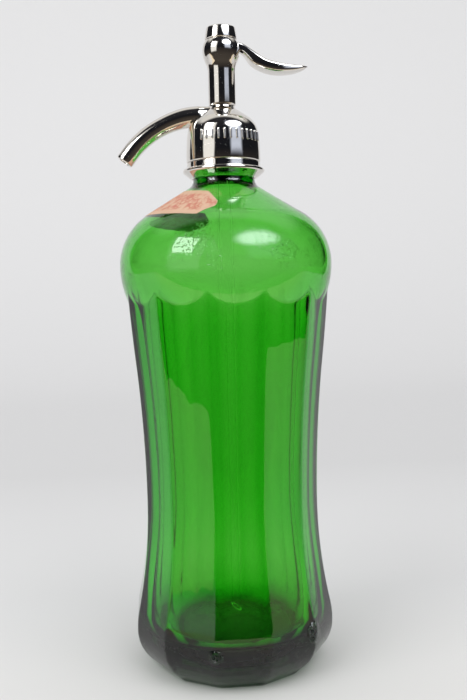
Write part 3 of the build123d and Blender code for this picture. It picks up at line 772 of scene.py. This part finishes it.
class SIPHON_OT_cap(Operator):
    """Screw cap on top: a short cone with a rolled foot and a softly domed top"""

    bl_idname = "siphon.cap"
    bl_label = "Top cap"

    def execute(self, context):
        inner_r, axis_r, under_z, top_z = 5.95, 0.05, 316.9, 319.0
        profile = [
            (axis_r, under_z), (inner_r, under_z), (inner_r, 312.6), (7.7, 312.6), (8.0, 312.95),
            (7.97, 313.4), (7.3, 317.9), (7.15, 318.4), (6.8, 318.7), (6.2, 318.85), (4.0, top_z),
            (axis_r, top_z)]
        soft = rounded(profile, 0.18, 5)
        # what the rounding adds on the axis, between the two faces, goes
        on_axis = soft[:, 0] <= 0.2
        between = np.abs(soft[:, 1] - (under_z + top_z) / 2) <= 0.9
        wall = soft[~(on_axis & between)]
        points, faces = tube_of(lathe_points(wall[:, 0], wall[:, 1], even_angles(96)))
        made = place_mesh("cap_plated", points, faces, "bottle",
                          bright_plating(context.scene.siphon_colours.plating), crease=40)
        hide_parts("top_cap")
        return {"FINISHED"}


class SIPHON_OT_collar(Operator):
    """Split collar: two half rings that grip the neck bead, with a seam between them"""

    bl_idname = "siphon.collar"
    bl_label = "Split collar"

    def execute(self, context):
        bead_x, bead_z = arc(19.7, 247.5, 19.5, 249.8, 19.12, 248.73, 9)
        profile = np.concatenate([
            [(15.75, 245.0), (16.6, 245.0)], np.stack([bead_x, bead_z], -1),
            [(18.3, 249.8), (18.3, 252.6), (16.15, 252.6), (16.15, 256.6), (15.4, 256.6),
             (13.7, 254.6), (13.7, 247.0), (15.75, 245.6)]])
        profile = rounded(profile, 0.25)
        plating = bright_plating(context.scene.siphon_colours.plating)
        # the seam's direction from -Y towards +X, and half its width, in degrees round the axis
        seam, gap = 343.4, 1.1
        for name, turn in (("collar_half_right", 0.0), ("collar_half_left", 180.0)):
            angles = np.radians(seam + turn + np.linspace(gap, 180 - gap, 61))
            points = lathe_points(profile[:, 0], profile[:, 1], angles)
            rows, columns = points.shape[:2]
            faces = grid_faces(rows, columns, wrap=False, loop=True)
            faces.append([row * columns for row in range(rows)])
            faces.append([row * columns + columns - 1 for row in range(rows)][::-1])
            made = place_mesh(name + "_plated", points, faces, "bottle", plating, crease=40)
            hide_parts(name)
        return {"FINISHED"}


class SIPHON_OT_spout(Operator):
    """Spout: a tapering tube that leaves the dome and bends down, open at its mouth"""

    bl_idname = "siphon.spout"
    bl_label = "Spout"

    def execute(self, context):
        # how steeply the tube falls where it leaves the dome and at its mouth, and the middle of
        # the mouth; the last 6 mm are straight
        root, tip = np.radians(6.0), np.radians(52.3)
        mouth_x, mouth_z, straight = -49.3, 253.5, 6.0
        start = np.array([-np.cos(root), -np.sin(root)])
        end = np.array([-np.cos(tip), -np.sin(tip)])
        bend_end = (mouth_x + straight * np.cos(tip), mouth_z + straight * np.sin(tip))
        line = curve_through(
            [(-11.0, 275.7), (-18.5, 274.9), (-26.05, 272.6), (-38.9, 265.1), bend_end],
            60, start, end)
        # the root goes on into the casting, where its end is out of sight
        into = line[0] - start * np.array([4.9, 3.0, 1.5])[:, None]
        line = np.concatenate([into, line, line[-1] + end * np.array([1.5, 3.0, 4.5])[:, None]])
        share = np.linspace(0, 1, len(line))
        size = np.interp(share, [0, 0.06, 0.25, 0.5, 1.0], [4.4, 5.2, 4.95, 4.5, 4.4])
        # the mouth's edge rolls over: a quarter circle outside, a small one inside
        roll = np.radians(np.linspace(0, 90, 7))[1:]
        lip = line[-1] + end * (0.7 + 0.8 * np.sin(roll))[:, None]
        lip_size = 3.6 + 0.8 * np.cos(roll)
        turn_in = np.radians(np.linspace(90, 0, 5))
        inner_lip = line[-1] + end * (1.2 + 0.3 * np.sin(turn_in))[:, None]
        bore_r = 2.7
        inner_size = 3.0 - 0.3 * np.cos(turn_in)
        path = np.concatenate([line, lip, inner_lip, line[::-1]])
        radius = np.concatenate([size, lip_size, inner_size, np.full(len(line), bore_r)])
        flow = np.gradient(line, axis=0)
        ends = np.tile(end, (len(lip) + len(inner_lip), 1))
        flow = np.concatenate([flow, ends, flow[::-1]])
        path3 = np.stack([path[:, 0], 0 * path[:, 0], path[:, 1]], -1)
        flow3 = np.stack([flow[:, 0], 0 * flow[:, 0], flow[:, 1]], -1)
        rings = rings_along(path3, flow3, (0, 1, 0), radius, radius, 64)
        rows, columns = rings.shape[:2]
        faces = grid_faces(rows, columns, loop=True)
        made = place_mesh("spout_plated", rings, faces, "bottle",
                          bright_plating(context.scene.siphon_colours.plating), crease=50)
        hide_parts("spout")
        return {"FINISHED"}


class SIPHON_OT_lever(Operator):
    """Lever: a boxy neck in the slot that flows into a broad thumb paddle, with its pivot boss
    and the tongue that lifts the plunger"""

    bl_idname = "siphon.lever"
    bl_label = "Lever"

    def execute(self, context):
        # along, height, fall in degrees, half thickness, half width, squareness
        stations = np.array([
            (3.0, 308.0, 0, 1.25, 2.4, 5.0), (5.0, 308.25, -10, 1.95, 2.6, 5.0),
            (7.6, 309.2, -8, 2.5, 2.6, 4.5), (10.0, 308.8, 20, 2.25, 2.8, 3.6),
            (12.6, 307.0, 38, 2.25, 3.5, 4.0), (16.5, 303.3, 37, 2.9, 4.6, 4.4),
            (21.0, 300.7, 25, 2.75, 5.2, 4.2), (27.0, 299.1, 10, 2.65, 5.4, 4.0),
            (33.0, 298.6, 1, 2.15, 5.0, 3.6), (38.0, 298.9, -7, 1.6, 3.9, 3.0),
            (41.6, 299.6, -15, 0.9, 2.2, 2.1), (43.2, 300.05, -17, 0.12, 0.25, 2.0)])
        places = stations[:, 0]
        slopes = np.gradient(stations, places, axis=0)
        share = np.sin(np.linspace(0, np.pi / 2, 90))
        wanted = places[0] + (places[-1] - places[0]) * share
        x, z, fall, thick, wide, square = hermite(places, stations, slopes, wanted).T
        fall = np.radians(fall)
        # the last ring is small but not a point
        thick[-1], wide[-1] = 0.10, 0.2
        path = np.stack([x, 0 * x, z], -1)
        ahead = np.stack([np.cos(fall), 0 * x, -np.sin(fall)], -1)
        blade = tube_of(rings_along(path, ahead, (0, 1, 0), wide, thick, 72, square))
        # the boss on the pin: a round rod across, with softened ends
        pin_x, pin_z = 4.2, 308.0
        reach = np.array([-2.6, -2.55, -2.4, 0, 2.4, 2.55, 2.6])
        size = np.array([1.6, 1.85, 1.95, 1.95, 1.95, 1.85, 1.6])
        path = np.stack([0 * reach + pin_x, reach, 0 * reach + pin_z], -1)
        ahead = np.tile((0.0, 1.0, 0.0), (reach.size, 1))
        boss = tube_of(rings_along(path, ahead, (1, 0, 0), size, size, 48))
        # the tongue: a flat finger that ends in a half round
        reach = np.array([-1.05, -0.9, -0.6, 0.0, 1.0, 2.5, 4.0])
        size = np.array([0.35, 0.65, 0.95, 1.1, 1.1, 1.1, 1.1])
        path = np.stack([reach, 0 * reach, 0 * reach + pin_z], -1)
        ahead = np.tile((1.0, 0.0, 0.0), (reach.size, 1))
        tongue = tube_of(rings_along(path, ahead, (0, 1, 0), 0.8, size, 32, 6.0))
        points, faces = joined(blade, boss, tongue)
        made = place_mesh("lever_plated", points, faces, "lever",
                          bright_plating(context.scene.siphon_colours.plating), crease=50)
        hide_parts("lever")
        return {"FINISHED"}


# ------------------------------------------------------------------ label and inner fittings
class SIPHON_OT_label(Operator):
    """Paper label over the shoulder below the spout, creased and lifting a little"""

    bl_idname = "siphon.label"
    bl_label = "Shoulder label"

    def execute(self, context):
        def plan(radius, azimuth):
            a = np.radians(azimuth)
            return np.array([radius * np.sin(a), -radius * np.cos(a)])

        # the two long edges, each from the end nearest -Y to the end nearest +Y
        share = np.linspace(0, 1, 121)
        spread = np.linspace(-1, 1, 31)[1:-1]
        outer = [plan(34.6, -10.9), plan(37.0, -11.5), plan(42.6, -22.5)]
        outer += [plan(40.0 + 2.6 * s * s, -90 - 67.5 * s) for s in spread]
        outer += [plan(42.6, -157.5), plan(37.0, -168.5), plan(34.6, -169.1)]
        inner = [plan(33.2, -10.5), plan(23.6, -23.5)]
        inner += [plan(20.7 + 2.9 * s * s, -90 - 66.5 * s) for s in spread]
        inner += [plan(23.6, -156.5), plan(33.2, -169.5)]
        edges = []
        for edge in (inner, outer):
            edge = np.array(edge)
            along = np.concatenate([[0], np.cumsum(np.linalg.norm(np.diff(edge, axis=0), axis=1))])
            along /= along[-1]
            edges.append(np.stack([np.interp(share, along, edge[:, axis]) for axis in (0, 1)], -1))
        # a little unevenness along the cut edges
        ragged = 0.10 * np.sin(share * 61.0) + 0.07 * np.sin(share * 173.0 + 1.0)
        across = np.linspace(0, 1, 33)
        mixed = (edges[0][:, None, :] * (1 - across[None, :, None])
                 + edges[1][:, None, :] * across[None, :, None])
        radius = np.hypot(mixed[..., 0], mixed[..., 1])
        shift = 1 + (ragged[:, None] * (across[None, :] - 0.5)) / radius
        mixed = mixed * shift[..., None]
        radius = np.hypot(mixed[..., 0], mixed[..., 1])
        # the glass under the paper: the dome's arc, and the cone inside where they join
        centre_r = context.scene.siphon_sizes.shoulder / MM - DOME_ARC
        join_r, join_z = cone_foot(centre_r, DOME_ARC)
        dome = WIDEST_Z + np.sqrt(np.clip(DOME_ARC ** 2 - (radius - centre_r) ** 2, 0, None))
        cone = join_z + (join_r - radius) * np.tan(CONE_SLOPE)
        height = np.where(radius > join_r, dome, cone)
        # creases: narrow ridges where a slanting wave passes its crest
        length = share[:, None] * PRINT_LONG
        wave = (np.sin(length * 0.33 + across[None, :] * 5.0)
                + 0.8 * np.sin(length * 0.81 - across[None, :] * 7.0 + 1.0))
        top_gap, crease_high, under_gap = 0.09, 0.06, 0.01
        lift = top_gap + np.clip(wave - 1.0, 0, 1) * crease_high
        top = np.concatenate([mixed, (height + lift / np.cos(CONE_SLOPE))[..., None]], -1)
        under = np.concatenate([mixed, (height + under_gap)[..., None]], -1)
        rings = np.concatenate([top, under[:, ::-1]], 1)
        rows, columns = rings.shape[:2]
        faces = grid_faces(rows, columns)
        faces.append(list(range(columns))[::-1])
        faces.append([(rows - 1) * columns + k for k in range(columns)])
        made = place_mesh("label_paper", rings, faces, "bottle",
                          label_paper(context.scene.siphon_colours.paper), crease=60)
        # own coordinates for the print, along and across the paper
        flat_u = np.tile(length, (1, columns))
        flat_v = np.concatenate([across, across[::-1]])[None, :] * PRINT_WIDE + 0 * flat_u
        layer = made.data.uv_layers.new(name="print")
        corners = np.empty(len(made.data.loops), np.int32)
        made.data.loops.foreach_get("vertex_index", corners)
        flat = np.stack([flat_u.ravel(), flat_v.ravel()], -1)[corners] * MM
        layer.data.foreach_set("uv", flat.astype(np.float32).ravel())
        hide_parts("shoulder_label")
        return {"FINISHED"}


class SIPHON_OT_fittings(Operator):
    """Finishes of the fittings inside the head and neck"""

    bl_idname = "siphon.fittings"
    bl_label = "Inner fittings"

    def execute(self, context):
        finishes = {
            ("lever_pin",): worked_metal(
                "stainless steel pin, ground", "#B9BBBD", "#8C8E90", 0.18, 0.35, 2500.0),
            ("return_spring",): worked_metal(
                "spring steel wire, drawn and coiled", "#9C9C9A", "#5F5B55", 0.25, 0.5, 900.0),
            ("valve_seat", "tube_nut", "valve_nut", "valve_washer", "spacer_sleeve",
             "spring_washer"): worked_metal(
                "yellow brass, turned", "#D8B36B", "#8A6A36", 0.2, 0.45, 1400.0),
            ("plunger_rod",): worked_metal(
                "brass rod, turned", "#CFAE70", "#7E6338", 0.15, 0.4, 1800.0),
            ("neck_washer", "tube_grommet"): soft_stock(
                "black rubber, moulded", "#1D1C1B", "#36332F", 0.55, 700.0),
            ("valve_disc", "cup_washer", "cap_washer"): soft_stock(
                "black rubber, cut from sheet", "#222120", "#3A3733", 0.6, 900.0),
            ("collar_liner",): soft_stock(
                "cork strip, sliced and darkened", "#5E4630", "#2E2013", 0.85, 450.0),
            ("dip_tube",): clear_tube_glass(),
        }
        for names, finish in finishes.items():
            for name in names:
                paint_node(name, finish)
        return {"FINISHED"}


# ------------------------------------------------------------------ the studio
def facing_lamp(tree, way, azimuth, elevation, half_wide, half_high, soft, round_shape):
    """1 inside a lamp's outline and 0 outside it, for a direction socket. The lamp's middle is at
    an azimuth from -Y towards +X and an elevation, its half sizes are tangents of angles."""
    a, e = radians(azimuth), radians(elevation)
    ahead = (np.sin(a) * np.cos(e), -np.cos(a) * np.cos(e), np.sin(e))
    across = (np.cos(a), np.sin(a), 0.0)
    above = (-np.sin(a) * np.sin(e), np.cos(a) * np.sin(e), np.cos(e))

    forward, sideways, upward = (
        node(tree, "ShaderNodeVectorMath", {"operation": "DOT_PRODUCT", 0: way, 1: vector}
             ).outputs["Value"] for vector in (ahead, across, above))
    depth = node(tree, "ShaderNodeMath", {"operation": "MAXIMUM", 0: forward, 1: 0.001}).outputs[0]
    # offsets from the lamp's middle, as shares of its half sizes
    offsets = []
    for part, half_size in ((sideways, half_wide), (upward, half_high)):
        for divisor in (depth, half_size):
            part = node(tree, "ShaderNodeMath", {"operation": "DIVIDE", 0: part, 1: divisor}
                        ).outputs[0]
        offsets.append(node(tree, "ShaderNodeMath", {"operation": "ABSOLUTE", 0: part}).outputs[0])
    if round_shape:
        squares = [node(tree, "ShaderNodeMath", {"operation": "MULTIPLY", 0: offset, 1: offset}
                        ).outputs[0] for offset in offsets]
        far = node(tree, "ShaderNodeMath", {"operation": "ADD", 0: squares[0], 1: squares[1]})
        far = node(tree, "ShaderNodeMath", {"operation": "SQRT", 0: far.outputs[0]})
    else:
        far = node(tree, "ShaderNodeMath", {"operation": "MAXIMUM", 0: offsets[0], 1: offsets[1]})
    edge = node(tree, "ShaderNodeMapRange", {"interpolation_type": "SMOOTHSTEP"},
                Value=far.outputs[0], From_Min=1.0 - soft, From_Max=1.0 + soft,
                To_Min=1.0, To_Max=0.0)
    # directions on the side away from the lamp don't count
    front = node(tree, "ShaderNodeMath", {"operation": "GREATER_THAN", 0: forward, 1: 0.02})
    return node(tree, "ShaderNodeMath", {"operation": "MULTIPLY", 0: edge.outputs[0],
                                         1: front.outputs[0]}).outputs[0]


def studio_world():
    """Plain light for matt surfaces, and for shiny ones a dim room with two soft lamps in it, each
    a faint screen with a bright patch."""
    world = bpy.data.worlds.new("studio surroundings")
    world.use_nodes = True
    # matt surfaces must find the plain light by bouncing, not by aiming at the bright lamps
    world.cycles.sampling_method = "NONE"
    tree = world.node_tree
    tree.nodes.clear()
    out = node(tree, "ShaderNodeOutputWorld")
    way = node(tree, "ShaderNodeTexCoord").outputs["Generated"]
    parts = node(tree, "ShaderNodeSeparateXYZ", Vector=way)
    # a dim room in front, the pale sweep and ceiling behind
    height = node(tree, "ShaderNodeMapRange", Value=parts.outputs["Z"], From_Min=-1.0).outputs[0]
    dim = node(tree, "ShaderNodeValToRGB", {"stops": (
        (0.0, (0.10, 0.085, 0.07, 1)), (0.50, (0.035, 0.030, 0.027, 1)),
        (0.62, (0.010, 0.011, 0.014, 1)), (1.0, (0.03, 0.03, 0.035, 1)))}, Fac=height)
    behind = node(tree, "ShaderNodeMapRange", {"interpolation_type": "SMOOTHSTEP"},
                  Value=parts.outputs["Y"], From_Min=-0.12, From_Max=0.10)
    above = node(tree, "ShaderNodeMapRange", {"interpolation_type": "SMOOTHSTEP"},
                 Value=parts.outputs["Z"], From_Min=0.55, From_Max=0.80)
    pale = node(tree, "ShaderNodeMath", {"operation": "MULTIPLY", 0: behind.outputs[0],
                                         1: above.outputs[0]})
    room = node(tree, "ShaderNodeMixRGB", {0: pale.outputs[0], 1: dim.outputs["Color"],
                                           2: (0.80, 0.79, 0.76, 1)})
    # azimuth, elevation, half width, half height, softness of the edge, round or not, light
    lamps = (
        (-51, 21, 0.33, 0.50, 0.15, False, (1.0, 1.0, 0.97)),
        (37, 35, 0.32, 0.46, 0.35, False, (0.70, 0.77, 0.92)),
        (-54, 32, 0.20, 0.22, 0.05, False, (11.0, 11.3, 11.6)),
        (37, 43, 0.36, 0.21, 0.45, True, (9.5, 10.0, 10.6)),
    )
    path = node(tree, "ShaderNodeLightPath")
    # lamps show at full strength in surfaces seen directly, hardly at all through the glass
    inside = node(tree, "ShaderNodeMapRange", Value=path.outputs["Transmission Depth"],
                  From_Max=1.0, To_Min=1.0, To_Max=0.03)
    glow = (0.0, 0.0, 0.0)
    for azimuth, elevation, wide, high, soft, round_shape, light in lamps:
        mask = facing_lamp(tree, way, azimuth, elevation, wide, high, soft, round_shape)
        scaled = node(tree, "ShaderNodeVectorMath", {"operation": "SCALE", 0: light}, Scale=mask)
        glow = node(tree, "ShaderNodeVectorMath", {"operation": "ADD", 0: glow,
                                                   1: scaled.outputs[0]}).outputs[0]
    glow = node(tree, "ShaderNodeVectorMath", {"operation": "SCALE", 0: glow},
                Scale=inside.outputs[0])
    total = node(tree, "ShaderNodeVectorMath", {"operation": "ADD", 0: room.outputs[0],
                                                1: glow.outputs[0]})
    matt = node(tree, "ShaderNodeMath", {"operation": "GREATER_THAN",
                                         0: path.outputs["Diffuse Depth"], 1: 0.5})
    shiny = node(tree, "ShaderNodeBackground", Color=total.outputs[0], Strength=1.0)
    even = node(tree, "ShaderNodeBackground", Color=(0.80, 0.80, 0.81, 1), Strength=1.0)
    mixed = node(tree, "ShaderNodeMixShader", {0: matt.outputs[0], 1: shiny.outputs[0],
                                               2: even.outputs[0]})
    tree.links.new(mixed.outputs[0], out.inputs["Surface"])
    return world


class SIPHON_OT_stage(Operator):
    """Paper sweep, surroundings, soft lights and camera"""

    bl_idname = "siphon.stage"
    bl_label = "Studio"

    def execute(self, context):
        scene = context.scene
        scene.view_settings.view_transform = "Standard"
        scene.world = studio_world()

        # a paper sweep: level floor, a quarter circle and an upright back, drawn out along X
        turn = np.radians(np.linspace(0, 90, 25))
        bend, back, front, top = 0.9, 1.9, -0.30, 3.2
        run = np.concatenate([[front], back - bend + bend * np.sin(turn), [back]])
        rise = np.concatenate([[0.0], bend - bend * np.cos(turn), [top]])
        side = np.array([-2.2, 1.7])
        points = np.stack(np.broadcast_arrays(side[None, :], run[:, None], rise[:, None]), -1)
        paper, tree, out = new_material("background paper with painted light and shade")
        place = node(tree, "ShaderNodeTexCoord").outputs["Object"]
        spot = node(tree, "ShaderNodeSeparateXYZ", Vector=place)
        along = node(tree, "ShaderNodeMapRange", Value=spot.outputs["Y"],
                     From_Min=front, From_Max=back)
        # painted light and shade in the paper's colour: a painted pool of warm cream light at the front
        # edge, white round the bottle, painted shade a little greyer where it starts to bend, and
        # painted light brighter up the back
        tint = node(tree, "ShaderNodeValToRGB", {"stops": (
            (0.0, (0.80, 0.66, 0.46, 1)), (0.05, (0.80, 0.70, 0.54, 1)),
            (0.10, (0.73, 0.72, 0.71, 1)), (0.17, grey(0.73)), (0.34, grey(0.66)),
            (0.8, grey(0.80)), (1.0, grey(0.87)))}, Fac=along.outputs[0])
        shader = node(tree, "ShaderNodeBsdfPrincipled", Base_Color=tint.outputs["Color"],
                      Roughness=0.9, Specular_IOR_Level=0.0)
        tree.links.new(shader.outputs[0], out.inputs["Surface"])
        mesh = bpy.data.meshes.new("paper_sweep")
        faces = grid_faces(run.size, side.size, wrap=False, flip=True)
        mesh.from_pydata(points.reshape(-1, 3).tolist(), [], faces)
        mesh.shade_smooth()
        sweep = bpy.data.objects.new("paper_sweep", mesh)
        scene.collection.objects.link(sweep)
        mesh.materials.append(paper)

        def area(name, azimuth, elevation, distance, width, height, power):
            """A soft light for the matt surfaces, facing the bottle's shoulder."""
            data = bpy.data.lights.new(name, "AREA")
            data.shape, data.size, data.size_y, data.energy = "RECTANGLE", width, height, power
            lamp = bpy.data.objects.new(name, data)
            a, e = radians(azimuth), radians(elevation)
            way_out = Vector((np.sin(a) * np.cos(e), -np.cos(a) * np.cos(e), np.sin(e)))
            target = Vector((0, 0, 0.15))
            turned = way_out.to_track_quat("Z", "Y").to_matrix().to_4x4()
            lamp.matrix_world = Matrix.Translation(target + way_out * distance) @ turned
            lamp.visible_camera = lamp.visible_glossy = lamp.visible_transmission = False
            scene.collection.objects.link(lamp)

        area("left softbox", -54, 38, 1.6, 1.0, 1.0, 9.0)
        area("right umbrella", 37, 50, 1.6, 1.2, 1.0, 6.5)

        camera = bpy.data.cameras.new("camera")
        camera.lens, camera.sensor_width = 43.36, 36.0
        eye = bpy.data.objects.new("camera", camera)
        scene.collection.objects.link(eye)
        # close in front of the bottle, looking a little down and to the right
        place = Vector((-0.03816, -0.42582, 0.19158))
        facing, pitch, roll = radians(-5.51), radians(-4.36), radians(-1.27)
        ahead = Vector((-np.sin(facing) * np.cos(pitch), np.cos(facing) * np.cos(pitch), np.sin(pitch)))
        right = ahead.cross(Vector((0, 0, 1))).normalized()
        upward = right.cross(ahead)
        turned_right = right * np.cos(roll) + upward * np.sin(roll)
        turned_up = -right * np.sin(roll) + upward * np.cos(roll)
        view = Matrix((turned_right, turned_up, -ahead)).transposed().to_4x4()
        eye.matrix_world = Matrix.Translation(place) @ view
        camera.clip_start, camera.clip_end = 0.01, 50
        scene.camera = eye
        return {"FINISHED"}


class SIPHON_PT_panel(Panel):
    """The siphon's pieces in the sidebar"""

    bl_label = "Soda siphon"
    bl_space_type = "VIEW_3D"
    bl_region_type = "UI"
    bl_category = "Siphon"

    def draw(self, context):
        for group in (context.scene.siphon_sizes, context.scene.siphon_colours):
            for name in group.bl_rna.properties.keys():
                if name not in ("rna_type", "name"):
                    self.layout.prop(group, name)
        for operator in OPERATORS:
            self.layout.operator(operator.bl_idname)


OPERATORS = (SIPHON_OT_glass, SIPHON_OT_label, SIPHON_OT_head, SIPHON_OT_cap, SIPHON_OT_collar,
             SIPHON_OT_spout, SIPHON_OT_lever, SIPHON_OT_fittings, SIPHON_OT_stage)
CLASSES = (SiphonSizes, SiphonColours, *OPERATORS, SIPHON_PT_panel)


def register():
    """Makes the classes and the scene's two property groups known."""
    for each in CLASSES:
        bpy.utils.register_class(each)
    bpy.types.Scene.siphon_sizes = PointerProperty(type=SiphonSizes)
    bpy.types.Scene.siphon_colours = PointerProperty(type=SiphonColours)


def unregister():
    """Takes them away again."""
    del bpy.types.Scene.siphon_colours
    del bpy.types.Scene.siphon_sizes
    for each in reversed(CLASSES):
        bpy.utils.unregister_class(each)


def main():
    """Builds every piece and the studio."""
    register()
    for operator in OPERATORS:
        group, name = operator.bl_idname.split(".")
        getattr(getattr(bpy.ops, group), name)()
    bpy.context.view_layer.update()


if __name__ == "__main__":
    main()
